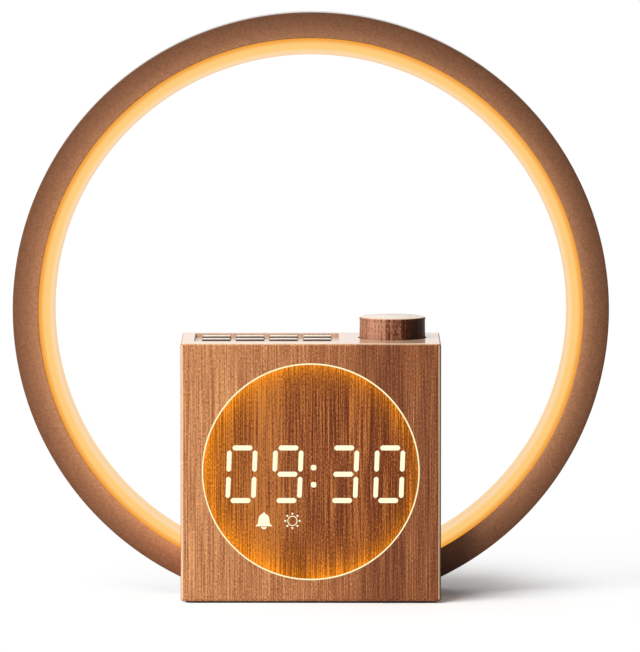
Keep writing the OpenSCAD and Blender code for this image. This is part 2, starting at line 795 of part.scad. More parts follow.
module ribbon_sockets() {
    color([0.90, 0.88, 0.82]) {
        block(ribbon_x, ribbon_y, main_top_z, ribbon_w + 1.4, 3.6, 2.6);
        block(ribbon_x, ribbon_y, top_board_z - 2.6, ribbon_w + 1.4, 3.6, 2.6);
    }
}

// the lead from the end of the ring's strip to the main board
module ring_lead() {
    start_deg = ring_gap_deg + 0.5;
    start = [-(strip_r - 2) * sin(start_deg), ring_y + ring_mid, ring_z - (strip_r - 2) * cos(start_deg)];
    points = [start, start + [4.5, 0, 6.5], [-main_w / 2 - 4, main_y + 3, main_top_z + 9],
        [-main_w / 2 + 2, main_y + 3, main_top_z + 0.6]];
    color([0.85, 0.20, 0.15]) for (i = [0:len(points) - 2]) hull() {
        translate(points[i]) sphere(r = 0.6, $fn = 12);
        translate(points[i + 1]) sphere(r = 0.6, $fn = 12);
    }
}

module ring_front_shell() {
    color([0.52, 0.36, 0.27]) ring_arc([[frame_in_r, bevel], [frame_in_r + bevel, 0],
        [ring_r - bevel, 0], [ring_r, bevel], [ring_r, ring_mid], [ring_r - shell_t, ring_mid],
        [ring_r - shell_t, shell_t], [frame_in_r, shell_t]]);
}

module ring_rear_shell() {
    lap_y = ring_mid - 2;
    wall_in = ring_r - shell_t - pin_gap;
    color([0.50, 0.34, 0.25]) ring_arc([[ring_in_r, ring_d - shell_t], [tongue_r, ring_d - shell_t],
        [tongue_r, lap_y], [wall_in, lap_y], [wall_in, ring_mid], [ring_r, ring_mid],
        [ring_r, ring_d - bevel], [ring_r - bevel, ring_d], [ring_in_r + bevel, ring_d],
        [ring_in_r, ring_d - bevel]]);
}

module ring_diffuser() {
    skin = 1.4;
    back = ring_d - shell_t;
    out_r = frame_in_r + 1.6;
    color([1.0, 0.83, 0.52]) ring_arc([[ring_in_r, 1.6], [ring_in_r + 0.6, 1], [frame_in_r, 0.6],
        [frame_in_r, shell_t], [out_r, shell_t], [out_r, shell_t + skin], [ring_in_r + skin, shell_t + skin],
        [ring_in_r + skin, back - skin], [out_r, back - skin], [out_r, back], [ring_in_r, back]]);
}

module ring_led_strip() {
    color([0.95, 0.94, 0.90]) ring_arc([[strip_r - strip_t, ring_mid - 2], [strip_r, ring_mid - 2],
        [strip_r, ring_d - shell_t], [strip_r - strip_t, ring_d - shell_t]], 0.5);
}

module ring_leds() {
    span = 360 - 2 * (ring_gap_deg + 2);
    color([1.0, 0.90, 0.60]) for (i = [0:ring_led_count - 1])
        translate([0, ring_y + ring_mid, ring_z])
            rotate([0, -(-90 + ring_gap_deg + 2 + span * i / (ring_led_count - 1)), 0])
                translate([strip_r - strip_t - led_h - pin_gap / 2, -1.4, -1.75]) cube([led_h, 2.8, 3.5]);
}

module ring_clamps() {
    color([0.62, 0.63, 0.65]) for (s = [-1, 1]) difference() {
        block(s * (clamp_x + 3.6), ring_y + ring_d + clamp_t / 2, floor_z + 3, clamp_w, clamp_t, clamp_h);
        bar_y(s * clamp_x, ring_y + ring_d - cut, clamp_z, screw_hole_r, clamp_t + 2 * cut);
    }
}

module clamp_screws() {
    color([0.60, 0.60, 0.62]) for (s = [-1, 1]) {
        bar_y(s * clamp_x, ring_y + ring_d + clamp_t - 8.5, clamp_z, screw_r, 8.6);
        bar_y(s * clamp_x, ring_y + ring_d + clamp_t, clamp_z, screw_head_r, 0.4);
    }
}

case();
rear_cover();
base_mat();
ballast_plate();
cover_screws();
face_disc();
halo_ring();
lit_segments();
unlit_segments();
display_block();
display_board();
display_leds();
display_header();
display_screws();
key_plate();
key_1();
key_2();
key_3();
key_4();
key_5();
key_6();
key_7();
key_8();
key_plunger_1();
key_plunger_2();
key_plunger_3();
key_plunger_4();
key_plunger_5();
key_plunger_6();
key_plunger_7();
key_plunger_8();
key_switches();
top_board();
top_screws();
encoder_body();
encoder_nut();
encoder_plunger();
encoder_shaft();
knob();
knob_inlay();
main_board();
main_chips();
main_screws();
usb_inlet();
backup_cell();
cell_holder();
speaker_basket();
speaker_cone();
speaker_magnet();
speaker_gasket();
board_ribbon();
ribbon_sockets();
ring_lead();
ring_front_shell();
ring_rear_shell();
ring_diffuser();
ring_led_strip();
ring_leds();
ring_clamps();
clamp_screws();
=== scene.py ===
"""Sunrise alarm clock: the finished looks of its wood case, lit face, keys, knob and ring lamp."""
import math

import bmesh
import bpy
from bpy.props import FloatProperty, FloatVectorProperty, IntProperty, PointerProperty
from mathutils import Matrix, Vector


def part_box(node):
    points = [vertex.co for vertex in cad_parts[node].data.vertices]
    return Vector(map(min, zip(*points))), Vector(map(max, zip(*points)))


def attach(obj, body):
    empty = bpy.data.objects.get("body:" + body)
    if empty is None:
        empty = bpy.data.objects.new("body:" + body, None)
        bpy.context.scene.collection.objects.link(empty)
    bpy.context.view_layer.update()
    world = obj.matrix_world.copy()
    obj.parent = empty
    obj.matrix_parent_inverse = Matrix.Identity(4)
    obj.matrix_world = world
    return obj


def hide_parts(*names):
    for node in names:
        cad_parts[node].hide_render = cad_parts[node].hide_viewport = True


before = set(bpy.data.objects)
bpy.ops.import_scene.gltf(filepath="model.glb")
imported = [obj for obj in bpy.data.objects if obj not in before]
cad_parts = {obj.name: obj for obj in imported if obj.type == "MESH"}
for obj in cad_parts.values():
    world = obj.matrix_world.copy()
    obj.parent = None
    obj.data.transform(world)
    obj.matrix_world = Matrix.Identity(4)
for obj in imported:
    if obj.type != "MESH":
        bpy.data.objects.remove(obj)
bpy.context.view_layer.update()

bl_info = {
    "name": "Sunrise Alarm Clock",
    "version": (1, 0, 0),
    "blender": (4, 5, 0),
    "location": "View3D > Sidebar > Clock",
    "description": "Models and finishes a wood-cased alarm clock with a ring lamp",
    "category": "Object",
}

MM = 0.001
HOUSING = "housing"
KNOB_HEAD = "knob_head"
FULL_TURN = 2 * math.pi


# ---------------------------------------------------------------- sizes read from the frame

def low(node):
    """The lowest corner of a node's box."""
    return Vector(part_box(node)[0])


def high(node):
    """The highest corner of a node's box."""
    return Vector(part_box(node)[1])


def middle(node):
    """The middle of a node's box."""
    return (low(node) + high(node)) / 2


RING_R = (high("ring_front_shell").x - low("ring_front_shell").x) / 2
RING_Z = high("ring_front_shell").z - RING_R
RING_FRONT = low("ring_front_shell").y
RING_BACK = high("ring_rear_shell").y
RING_CENTRE = (0, 0, RING_Z)
RING_GAP = math.acos((RING_Z - low("ring_front_shell").z) / RING_R)
FACE = middle("face_disc")
FACE_R = (high("face_disc").x - low("face_disc").x) / 2
KNOB = middle("knob")
KNOB_HALF = 13 * MM
CASE_LOW = low("case")
CASE_HIGH = high("case")
CASE_HALF = 50 * MM


# ---------------------------------------------------------------- settings that a user changes

def colour_property(name, description, default):
    """A colour setting, in linear light."""
    return FloatVectorProperty(
        name=name, description=description, default=default, size=3, min=0, max=1, subtype="COLOR"
    )


def length_property(name, description, default):
    """A length setting, in metres."""
    return FloatProperty(
        name=name, description=description, default=default, min=0, precision=5,
        subtype="DISTANCE", unit="LENGTH"
    )


class ClockWood(bpy.types.PropertyGroup):
    """Tones of the veneer."""

    tan: colour_property("Tan", "Light stripe of the veneer", (0.90, 0.43, 0.18))
    brown: colour_property("Brown", "Middle stripe of the veneer", (0.41, 0.145, 0.053))
    dark: colour_property("Dark", "Dark stripe of the veneer", (0.145, 0.039, 0.016))
    disc: colour_property("Disc", "Wood of the lit disc", (0.29, 0.083, 0.027))
    amber: colour_property("Amber", "Glow of the line that shines into the disc", (0.66, 0.20, 0.003))


class ClockRing(bpy.types.PropertyGroup):
    """Sizes and colours of the ring lamp."""

    frame_width: length_property("Frame width", "Brown frame, seen from the front", 10 * MM)
    light_width: length_property("Light width", "Lit diffuser, seen from the front", 6.3 * MM)
    wall: length_property("Wall", "Thickness of the ring's shells", 1.6 * MM)
    edge: length_property("Edge", "Round of the frame's edges", 0.5 * MM)
    steps: IntProperty(name="Steps", description="Steps round the ring", default=240, min=48, max=720)
    outer: colour_property("Outer brown", "Frame colour at its outer edge", (0.155, 0.062, 0.028))
    inner: colour_property("Inner brown", "Frame colour at its inner edge", (0.465, 0.212, 0.102))


class ClockTrim(bpy.types.PropertyGroup):
    """Sizes and colours of the keys, knob and small trim."""

    key_edge: length_property("Key edge", "Round of a key's edges", 0.35 * MM)
    knob_edge: length_property("Knob edge", "Round of the knob's top edge", 0.6 * MM)
    cream: colour_property("Cream", "Key colour", (0.95, 0.86, 0.73))
    lit: colour_property("Lit", "Colour of the lit digits", (1.0, 0.96, 0.66))
    plastic: colour_property("Back plastic", "Rear cover colour", (0.055, 0.026, 0.016))


# ---------------------------------------------------------------- materials

class Shader:
    """A material that is built node by node."""

    def __init__(self, name):
        self.material = bpy.data.materials.new(name)
        self.material.use_nodes = True
        self.tree = self.material.node_tree
        self.surface = self.tree.nodes["Principled BSDF"]
        coordinates = self.tree.nodes.new("ShaderNodeTexCoord")
        self.place = coordinates.outputs["Object"]
        self.facing = coordinates.outputs["Normal"]

    def set(self, **values):
        """Sets the surface's own sockets: base_color=..., roughness=..."""
        for key, value in values.items():
            socket = self.surface.inputs[key.replace("_", " ").title().replace("Ior", "IOR")]
            socket.default_value = (*value, 1) if isinstance(value, (tuple, list)) else value

    def feed(self, socket, value):
        """Links an output to a socket, or writes a plain value into it."""
        if isinstance(value, bpy.types.NodeSocket):
            self.tree.links.new(value, socket)
        elif isinstance(value, (tuple, list)) and socket.type == "RGBA":
            socket.default_value = (*value, 1)
        else:
            socket.default_value = value

    def wire(self, key, value):
        """Links a value to one of the surface's sockets."""
        self.feed(self.surface.inputs[key], value)

    def math(self, operation, a, b=0.0, c=None, clamp=False):
        """One step of arithmetic."""
        node = self.tree.nodes.new("ShaderNodeMath")
        node.operation = operation
        node.use_clamp = clamp
        self.feed(node.inputs[0], a)
        self.feed(node.inputs[1], b)
        if c is not None:
            self.feed(node.inputs[2], c)
        return node.outputs[0]

    def plus(self, a, b):
        """Two values added."""
        return self.math("ADD", a, b)

    def minus(self, a, b):
        """The second value taken from the first."""
        return self.math("SUBTRACT", a, b)

    def times(self, a, b):
        """Two values multiplied."""
        return self.math("MULTIPLY", a, b)

    def unsigned(self, a):
        """A value without its sign."""
        return self.math("ABSOLUTE", a)

    def share(self, value, start, length):
        """How far a value has come along a length from its start: from 0 to 1."""
        return self.math("DIVIDE", self.minus(value, start), length, clamp=True)

    def split(self, vector):
        """The X, Y and Z of a vector."""
        node = self.tree.nodes.new("ShaderNodeSeparateXYZ")
        self.feed(node.inputs[0], vector)
        return tuple(node.outputs)

    def join(self, x, y, z):
        """A vector made of three numbers."""
        node = self.tree.nodes.new("ShaderNodeCombineXYZ")
        for socket, value in zip(node.inputs, (x, y, z)):
            self.feed(socket, value)
        return node.outputs[0]

    def mapped(self, vector, scale=(1, 1, 1), offset=(0, 0, 0)):
        """A vector scaled and shifted."""
        node = self.tree.nodes.new("ShaderNodeMapping")
        self.feed(node.inputs["Vector"], vector)
        node.inputs["Scale"].default_value = scale
        node.inputs["Location"].default_value = offset
        return node.outputs[0]

    def from_point(self, point):
        """The X, Y and Z of the surface, measured from a point."""
        return self.split(self.mapped(self.place, offset=tuple(-v for v in point)))

    def radius(self, centre):
        """Distance of the surface from a line along Y through centre."""
        x, _, z = self.from_point(centre)
        return self.math("SQRT", self.plus(self.times(x, x), self.times(z, z)))

    def noise(self, vector, scale, detail=3.0, rough=0.5, distortion=0.0):
        """Cloudy noise from 0 to 1."""
        node = self.tree.nodes.new("ShaderNodeTexNoise")
        self.feed(node.inputs["Vector"], vector)
        settings = {"Scale": scale, "Detail": detail, "Roughness": rough, "Distortion": distortion}
        for key, value in settings.items():
            node.inputs[key].default_value = value
        return node.outputs["Fac"]

    def ramp(self, factor, stops, smooth=False):
        """A colour or grey looked up along a factor: stops are (place, grey or colour)."""
        node = self.tree.nodes.new("ShaderNodeValToRGB")
        self.feed(node.inputs[0], factor)
        if smooth:
            node.color_ramp.interpolation = "EASE"
        elements = node.color_ramp.elements
        while len(elements) < len(stops):
            elements.new(0.5)
        for element, (place, value) in zip(elements, stops):
            element.position = place
            element.color = (*value, 1) if isinstance(value, (tuple, list)) else (value, value, value, 1)
        return node.outputs[0]

    def mix(self, factor, a, b, blend="MIX"):
        """Two colours mixed."""
        node = self.tree.nodes.new("ShaderNodeMix")
        node.data_type = "RGBA"
        node.blend_type = blend
        for place, value in ((0, factor), (6, a), (7, b)):
            self.feed(node.inputs[place], value)
        return node.outputs[2]

    def bump(self, height, strength, distance):
        """Gives the surface a bump from a height."""
        node = self.tree.nodes.new("ShaderNodeBump")
        node.inputs["Strength"].default_value = strength
        node.inputs["Distance"].default_value = distance
        self.feed(node.inputs["Height"], height)
        self.wire("Normal", node.outputs[0])


def plain(colour):
    """A colour setting as a plain tuple."""
    return tuple(colour)[:3]


def darker(colour, share):
    """A colour times a share."""
    return tuple(c * share for c in colour)


# The veneer's patterns: cycles in a metre across the grain (twice) and along it.
FIGURE_SCALE = (70, 70, 3.5)
STREAK_SCALE = (620, 620, 7)
LINE_SCALE = (2400, 2400, 32)
DASH_SCALE = (2600, 2600, 1000)
PORE_SCALE = (2300, 2300, 260)

# Tones of the boards from 0 (light) to 1 (dark): stops of (share of the width from the left, tone).
CASE_BOARDS = (
    (0.0, 0.30), (0.18, 0.30), (0.21, 0.36), (0.40, 0.38), (0.46, 0.42), (0.55, 0.50),
    (0.67, 0.57), (0.70, 0.76), (0.84, 0.86), (0.87, 0.73), (0.95, 0.78),
)
DISC_BOARDS = (
    (0.0, 0.42), (0.21, 0.46), (0.24, 0.16), (0.35, 0.18), (0.38, 0.52), (0.60, 0.54),
    (0.63, 0.63), (0.67, 0.63), (0.69, 0.46), (0.76, 0.46), (0.78, 0.74), (0.93, 0.72),
)
# The knob's tones across are partly its boards, partly painted light: the light band left of the middle is a
# painted sheen, the darkening to the right painted shade.
KNOB_BOARDS_SHEEN_AND_SHADE = (
    (0.0, 0.24), (0.14, 0.26), (0.18, 0.05), (0.36, 0.12), (0.42, 0.46),
    (0.52, 0.56), (0.66, 0.72), (0.73, 0.92),
)

# Colours of the woods, light, middle and dark, where they aren't settings, and colours painted on them as
# light and shade: glow, reflection, highlight and shade.
DISC_LIGHT = (0.60, 0.215, 0.056)
DISC_DARK = (0.13, 0.030, 0.012)
# Painted glow: amber tint for the disc's base colour near its lit line.
AMBER_PAINTED_GLOW = (0.86, 0.74, 0.15)
KNOB_TONES = ((0.56, 0.29, 0.19), (0.21, 0.070, 0.033), (0.020, 0.008, 0.005))
# Painted shade for the knob's right-hand side.
KNOB_PAINTED_SHADE = (0.030, 0.012, 0.008)
# Painted reflection: pale wood for the knob's top, standing in for gloss seen at a low angle.
KNOB_TOP_PAINTED_REFLECTION = (0.90, 0.58, 0.36)
# Painted reflection: pale wood for the case's top faces, standing in for gloss seen at a low angle.
CASE_TOP_PAINTED_REFLECTION = (0.86, 0.60, 0.40)
# Painted highlight for the rounded edges of the case's front.
EDGE_HIGHLIGHT_PALE = (1.0, 0.76, 0.52)
# Painted shade for the outer round of the case's right-hand edges.
EDGE_SHADE_BLACK = (0.030, 0.012, 0.005)
# Painted light: paler wood for the walls of the key tray and other recesses, against their shade.
TRAY_WALL_PAINTED_LIGHT = (0.74, 0.60, 0.48)

# Colours of the ring lamp between its edges.
RING_MIDDLE_BROWN = (0.285, 0.120, 0.058)
MILK = (0.88, 0.62, 0.43)
CREAM_LIGHT = (0.98, 0.70, 0.40)
HONEY = (0.97, 0.60, 0.20)
DEEP_AMBER = (0.90, 0.36, 0.045)
INNER_GLOW = (0.97, 0.68, 0.34)


def wood_grain(shader, vector, dash_share):
    """The veneer's slow figure, streaks, fibres and pores, each from 0 to 1, along the vector's Z.

    dash_share says how much of the fibres is broken into short dashes."""
    figure = shader.noise(shader.mapped(vector, FIGURE_SCALE), 1.0, 2.0, 0.5, 1.0)
    streaks = shader.noise(shader.mapped(vector, STREAK_SCALE), 1.0, 3.0, 0.6, 0.1)
    lines = shader.noise(shader.mapped(vector, LINE_SCALE), 1.0, 1.0)
    dashes = shader.noise(shader.mapped(vector, DASH_SCALE), 1.0, 1.0)
    fibres = shader.plus(shader.times(lines, 1 - dash_share), shader.times(dashes, dash_share))
    specks = shader.noise(shader.mapped(vector, PORE_SCALE), 1.0, 2.0)
    pores = shader.ramp(specks, ((0.60, 0.0), (0.68, 1.0)))
    return figure, streaks, fibres, pores


def board_spot(shader, figure, sway, x, half_width):
    """Place across the boards from 0 (left) to 1 (right), swaying a little with the figure."""
    across = shader.math("MULTIPLY_ADD", shader.minus(figure, 0.5), sway, x)
    return shader.share(across, -half_width, 2 * half_width)


def wood_tone(shader, board, streaks, fibres, streak_depth, fibre_depth):
    """Tone of the wood from 0 (light) to 1 (dark): the board's own tone, its streaks and its fibres."""
    tone = shader.math("MULTIPLY_ADD", shader.minus(streaks, 0.5), streak_depth, board)
    return shader.math("MULTIPLY_ADD", shader.minus(fibres, 0.5), fibre_depth, tone, clamp=True)


def wood_colour(shader, tone, pores, tones, pore_depth):
    """Wood colour from its tone, with dark pores."""
    light, medium, dark = tones
    colour = shader.ramp(tone, ((0.0, light), (0.5, medium), (1.0, dark)))
    return shader.mix(shader.times(pores, pore_depth), colour, darker(dark, 0.55))


def looks_up(shader, start, end):
    """1 on faces that look up or down, 0 on upright ones, with a short blend between start and end."""
    return shader.ramp(shader.unsigned(shader.split(shader.facing)[2]), ((start, 0.0), (end, 1.0)))


def painted_edge_highlight(shader):
    """Painted highlight: how far the rounds are painted pale where they catch the light, on the top edge of
    the front and on its two upright edges.
    """
    right, away, up = shader.split(shader.facing)
    front = shader.times(away, -1.0)
    over = shader.ramp(front, (
        (0.02, 0.0), (0.10, 0.9), (0.45, 0.65), (0.70, 0.30), (0.88, 0.08), (0.95, 0.0)))
    top = shader.times(over, shader.ramp(up, ((0.05, 0.0), (0.20, 1.0))))
    sideways = shader.ramp(shader.unsigned(right), ((0.05, 0.0), (0.20, 0.75), (0.55, 0.90), (0.70, 0.0)))
    side = shader.times(sideways, shader.ramp(front, ((0.05, 0.0), (0.25, 1.0))))
    side = shader.times(side, shader.ramp(right, ((0.0, 0.85), (0.1, 0.75))))
    return shader.math("MAXIMUM", top, side)


def painted_edge_shade(shader):
    """Painted shade: on the outer half of the right-hand upright edges' round, which faces away from the
    light.
    """
    right, _, up = shader.split(shader.facing)
    upright = shader.ramp(shader.unsigned(up), ((0.2, 1.0), (0.4, 0.0)))
    outer = shader.ramp(right, ((0.50, 0.0), (0.60, 0.95), (0.97, 0.95), (0.99, 0.0)))
    return shader.times(upright, outer)


def inner_wall(shader):
    """1 on the upright walls of the key tray, which get paler wood as painted light against their shade."""
    margin = 3 * MM
    x, y, _ = shader.split(shader.place)
    half_depth = (CASE_HIGH.y - CASE_LOW.y) / 2
    depth = shader.math("COMPARE", y, (CASE_LOW.y + CASE_HIGH.y) / 2, half_depth - margin)
    width = shader.math("LESS_THAN", shader.unsigned(x), CASE_HIGH.x - margin)
    upright = shader.math("LESS_THAN", shader.unsigned(shader.split(shader.facing)[2]), 0.5)
    return shader.times(shader.times(depth, width), upright)


def case_wood(wood):
    """Veneer of the case: tan boards at the left, darker and redder ones at the right, upright grain."""
    shader = Shader("case_veneer")
    flat = looks_up(shader, 0.80, 0.97)
    x, y, z = shader.split(shader.place)
    along_top = shader.join(y, z, x)
    figure, streaks, fibres, pores = wood_grain(shader, shader.mix(flat, shader.place, along_top), 0.45)
    spot = board_spot(shader, figure, 5 * MM, x, CASE_HALF)
    tone = wood_tone(shader, shader.ramp(spot, CASE_BOARDS), streaks, fibres, 0.6, 2.3)
    colour = wood_colour(shader, tone, pores, (plain(wood.tan), plain(wood.brown), plain(wood.dark)), 0.3)
    # Painted reflection: faces that look up are made paler, standing in for the gloss that glances white at a
    # low view.
    colour = shader.mix(shader.times(flat, 0.7), colour, CASE_TOP_PAINTED_REFLECTION)
    # Painted highlight on the rounds of the front's edges.
    colour = shader.mix(painted_edge_highlight(shader), colour, EDGE_HIGHLIGHT_PALE)
    # Painted shade on the outer round of the right-hand edges; the rougher finish follows the same mask.
    dark = painted_edge_shade(shader)
    colour = shader.mix(dark, colour, EDGE_SHADE_BLACK)
    # Painted light: the walls of the key tray and other recesses are made paler against their shade.
    colour = shader.mix(shader.times(inner_wall(shader), 0.6), colour, TRAY_WALL_PAINTED_LIGHT)
    shader.wire("Base Color", colour)
    shader.wire("Coat Weight", shader.times(flat, 0.85))
    shader.wire("Roughness", shader.math("MULTIPLY_ADD", dark, 0.5, 0.42))
    shader.set(specular_ior_level=0.14, coat_roughness=0.05, coat_ior=1.6)
    shader.bump(shader.minus(fibres, pores), 0.25, 0.04 * MM)
    return shader.material


def disc_wood(wood):
    """Veneer of the disc: darker and redder boards, lit amber from behind near the lit line."""
    shader = Shader("disc_veneer")
    vector = shader.mapped(shader.place, offset=(0.31, 0, 0.07))
    figure, streaks, fibres, pores = wood_grain(shader, vector, 0.42)
    x, _, z = shader.from_point(FACE)
    spot = board_spot(shader, figure, 2 * MM, x, FACE_R)
    tone = wood_tone(shader, shader.ramp(spot, DISC_BOARDS), streaks, fibres, 0.2, 4.9)
    colour = wood_colour(shader, tone, pores, (DISC_LIGHT, plain(wood.disc), DISC_DARK), 0.3)
    inwards = shader.math("DIVIDE", shader.minus(FACE_R, shader.radius(FACE)), MM)
    fade = shader.math("MULTIPLY_ADD", x, 0.085 / FACE_R, 0.235)
    fade = shader.math("MULTIPLY_ADD", z, 0.03 / FACE_R, fade)
    glow = shader.math("EXPONENT", shader.times(shader.times(inwards, fade), -1.0))
    # Painted glow: near the lit line the base colour is tinted amber, standing in for the light that shines
    # through the veneer from behind.
    painted_glow_tint = shader.times(shader.math("SQRT", glow), 0.9)
    shader.wire("Base Color", shader.mix(painted_glow_tint, colour, AMBER_PAINTED_GLOW, "MULTIPLY"))
    patch = shader.ramp(shader.noise(shader.place, 34.0, 1.0), ((0.35, 0.55), (0.65, 1.0)))
    shader.wire("Emission Strength", shader.times(shader.times(glow, patch), shader.minus(1.48, tone)))
    shader.set(emission_color=plain(wood.amber), roughness=0.45, specular_ior_level=0.08)
    shader.bump(shader.minus(fibres, pores), 0.2, 0.04 * MM)
    return shader.material


def knob_wood():
    """Turned walnut: upright grain at the side, lighter to the left with a painted sheen, and painted shade
    to the right that goes near black.
    """
    shader = Shader("knob_walnut")
    flat = looks_up(shader, 0.50, 0.75)
    vector = shader.mapped(shader.place, offset=(0.02, 0.11, 0.3))
    figure, streaks, fibres, pores = wood_grain(shader, vector, 0.5)
    spot = board_spot(shader, figure, 3 * MM, shader.from_point(KNOB)[0], KNOB_HALF)
    tone = wood_tone(shader, shader.ramp(spot, KNOB_BOARDS_SHEEN_AND_SHADE), streaks, fibres, 0.9, 2.2)
    colour = wood_colour(shader, tone, pores, KNOB_TONES, 0.4)
    # Painted shade: the knob's right-hand side is mixed towards near black.
    colour = shader.mix(shader.ramp(spot, ((0.62, 0.0), (0.78, 0.7))), colour, KNOB_PAINTED_SHADE)
    # Painted reflection: faces that look up are made paler, standing in for the gloss at a low view.
    colour = shader.mix(shader.times(flat, 0.7), colour, KNOB_TOP_PAINTED_REFLECTION)
    shader.wire("Base Color", colour)
    shader.wire("Coat Weight", flat)
    shader.set(roughness=0.45, specular_ior_level=0.05, coat_roughness=0.08, coat_ior=1.6)
    shader.bump(shader.minus(fibres, pores), 0.25, 0.05 * MM)
    return shader.material


def ring_shade(shader, x, z):
    """Painted shade: dark beside the case's lower right side, where the case casts its shadow, white
    everywhere else on the ring.
    """
    beside = shader.ramp(shader.share(x, CASE_HIGH.x, 20 * MM), ((0.0, 0.28), (0.35, 0.36), (1.0, 1.0)), True)
    right = shader.math("GREATER_THAN", x, 0.0)
    low_half = shader.math("LESS_THAN", z, 0.0)
    return shader.mix(shader.times(right, low_half), (1, 1, 1), beside)


def ring_paint(ring):
    """Fine speckled brown paint, lighter towards the lamp's inner edge, with painted light towards the lower
    left and painted shade beside the case.
    """
    shader = Shader("ring_paint")
    spot = shader.share(shader.radius(RING_CENTRE), RING_R - ring.frame_width, ring.frame_width)
    colour = shader.ramp(spot, (
        (0.0, plain(ring.inner)), (0.45, RING_MIDDLE_BROWN), (1.0, plain(ring.outer))))
    x, _, z = shader.from_point(RING_CENTRE)
    # Painted light: the frame is made lighter towards the lower left, where the key light comes from.
    painted_key_light = shader.math("MULTIPLY_ADD", shader.plus(x, z), -0.16 / RING_R, 1.06)
    speckle = shader.ramp(shader.noise(shader.place, 1500.0, 2.0, 0.6), ((0.30, 0.80), (0.70, 1.20)))
    grey = shader.times(shader.times(painted_key_light, speckle), ring_shade(shader, x, z))
    shader.wire("Base Color", shader.mix(1.0, colour, shader.join(grey, grey, grey), "MULTIPLY"))
    sideways = shader.unsigned(shader.split(shader.facing)[1])
    shader.wire("Coat Weight", shader.ramp(sideways, ((0.35, 1.0), (0.60, 0.0))))
    shader.set(roughness=0.5, specular_ior_level=0.15, coat_roughness=0.08, coat_ior=1.6)
    shader.bump(speckle, 0.2, 0.03 * MM)
    return shader.material


def ring_glow(ring):
    """Milky diffuser: deep amber beside the frame, paler and creamier towards the open middle."""
    shader = Shader("ring_glow")
    opening = RING_R - ring.frame_width - ring.light_width
    spot = shader.share(shader.radius(RING_CENTRE), opening, ring.light_width)
    light = shader.ramp(spot, (
        (0.0, MILK), (0.15, CREAM_LIGHT), (0.42, HONEY), (0.66, HONEY), (0.92, DEEP_AMBER)))
    sideways = shader.unsigned(shader.split(shader.facing)[1])
    inner_face = shader.ramp(sideways, ((0.20, 1.0), (0.50, 0.0)))
    shader.wire("Emission Color", shader.mix(inner_face, light, INNER_GLOW))
    shader.set(base_color=(0.02, 0.012, 0.006), emission_strength=1.0)
    shader.set(roughness=0.6, specular_ior_level=0.0)
    shader.bump(shader.noise(shader.place, 900.0, 1.0), 0.05, 0.03 * MM)
    return shader.material


def lit_plastic(name, colour):
    """A light guide's end, evenly lit, with a faint milky cloud."""
    shader = Shader(name)
    cloud = shader.noise(shader.place, 260.0, 2.0)
    shader.wire("Emission Color", shader.ramp(cloud, ((0.3, darker(colour, 0.97)), (0.7, colour))))
    shader.set(base_color=(0.04, 0.036, 0.028), emission_strength=1.05)
    shader.set(roughness=0.5, specular_ior_level=0.0)
    return shader.material


def moulded(name, colour, rough=0.5, grain=0.15, scale=1500.0, metallic=0.0, vary=0.12, gloss=0.5):
    """Moulded or sheet material with a fine surface and slight tone changes."""
    shader = Shader(name)
    cloud = shader.noise(shader.place, scale, 3.0, 0.6)
    patch = shader.noise(shader.place, scale / 24, 2.0)
    light = tuple(min(1.0, c * (1 + vary)) for c in colour)
    tone = shader.plus(shader.times(cloud, 0.5), shader.times(patch, 0.5))
    shader.wire("Base Color", shader.ramp(tone, ((0.35, darker(colour, 1 - vary)), (0.65, light))))
    shader.wire("Roughness", shader.math("MULTIPLY_ADD", cloud, 0.12, rough - 0.06))
    shader.set(metallic=metallic, specular_ior_level=gloss)
    shader.bump(cloud, grain, 0.04 * MM)
    return shader.material


def brushed(name, colour, rough=0.35):
    """Metal with fine brush lines."""
    shader = Shader(name)
    lines = shader.noise(shader.mapped(shader.place, (1800, 60, 60)), 1.0)
    shader.wire("Base Color", shader.ramp(lines, ((0.3, darker(colour, 0.82)), (0.7, colour))))
    shader.wire("Roughness", shader.math("MULTIPLY_ADD", lines, 0.18, rough - 0.09))
    shader.set(metallic=1.0)
    shader.bump(lines, 0.12, 0.02 * MM)
    return shader.material


# ---------------------------------------------------------------- modelling helpers

def ring_point(radius, depth, angle):
    """A point of the ring: its radius, its Y, and its turn from +X towards +Z."""
    return Vector((radius * math.cos(angle), depth, RING_Z + radius * math.sin(angle)))


def outline_loop(bm, points):
    """A closed loop of edges through the points."""
    verts = [bm.verts.new(p) for p in points]
    edges = [bm.edges.new((a, b)) for a, b in zip(verts, verts[1:] + verts[:1])]
    return verts + edges


def sharp_edges(bm, keep):
    """The edges that keep says yes to, out of those whose two faces meet at more than 60 degrees."""
    least = math.radians(60)
    return [e for e in bm.edges if len(e.link_faces) == 2 and e.calc_face_angle(0) > least and keep(e)]


def rim_edges(bm, on_face):
    """Sharp edges that run round the ring, on the face that on_face tells by its Y."""
    def runs_round(edge):
        radii = {round((v.co - Vector((0, v.co.y, RING_Z))).length, 4) for v in edge.verts}
        return len(radii) == 1 and all(on_face(v.co.y) for v in edge.verts)

    return sharp_edges(bm, runs_round)


def is_upright(edge):
    """Whether an edge's ends differ in height."""
    return abs(edge.verts[0].co.z - edge.verts[1].co.z) > 1e-6


def edge_height(edge):
    """Height of an edge's middle."""
    return (edge.verts[0].co.z + edge.verts[1].co.z) / 2


def bevel(bm, edges, width, segments=3):
    """Rounds edges."""
    bmesh.ops.bevel(bm, geom=edges, offset=width, offset_type="OFFSET", segments=segments, profile=0.5,
                    affect="EDGES", clamp_overlap=True, material=-1)


def close_up(bm):
    """Merges doubles and turns the faces outwards."""
    bmesh.ops.remove_doubles(bm, verts=bm.verts, dist=0.5e-6)
    bmesh.ops.recalc_face_normals(bm, faces=bm.faces)


